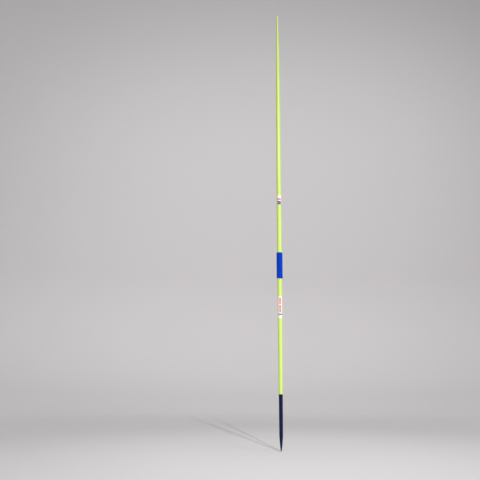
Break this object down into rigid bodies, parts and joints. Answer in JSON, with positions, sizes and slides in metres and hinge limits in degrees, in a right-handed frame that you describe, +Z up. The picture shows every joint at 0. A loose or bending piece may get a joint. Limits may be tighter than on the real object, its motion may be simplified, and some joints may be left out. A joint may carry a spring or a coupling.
{
  "type": "javelin",
  "caption": "Throwing javelin with a tapered painted alloy shaft, a pointed dark metal head and a blue cord grip, standing upright on its point.",
  "frame": {"origin": "the very tip of the point, where the javelin meets what it stands in", "axes": "+Z up the javelin's axis from the point to the tail; -Y is the side that the two stickers face"},
  "size_m": [0.0358, 0.0358, 2.65],
  "materials": {
    "nose": "satin",
    "head": "satin",
    "slug": "satin",
    "inner_alloy": "satin",
    "shaft": "gloss",
    "tape": "matte",
    "cord": "matte",
    "label": "satin"
  },
  "bodies": {
    "root": {"nose_point": "nose", "head_shell": "head", "balance_slug": "slug", "head_spigot": "inner_alloy", "front_shaft": "shaft", "rear_shaft": "shaft", "centre_sleeve": "inner_alloy", "tail_tip": "shaft", "grip_tape": "tape", "grip_cord": "cord", "front_label": "label", "rear_label": "label"}
  },
  "joints": []
}
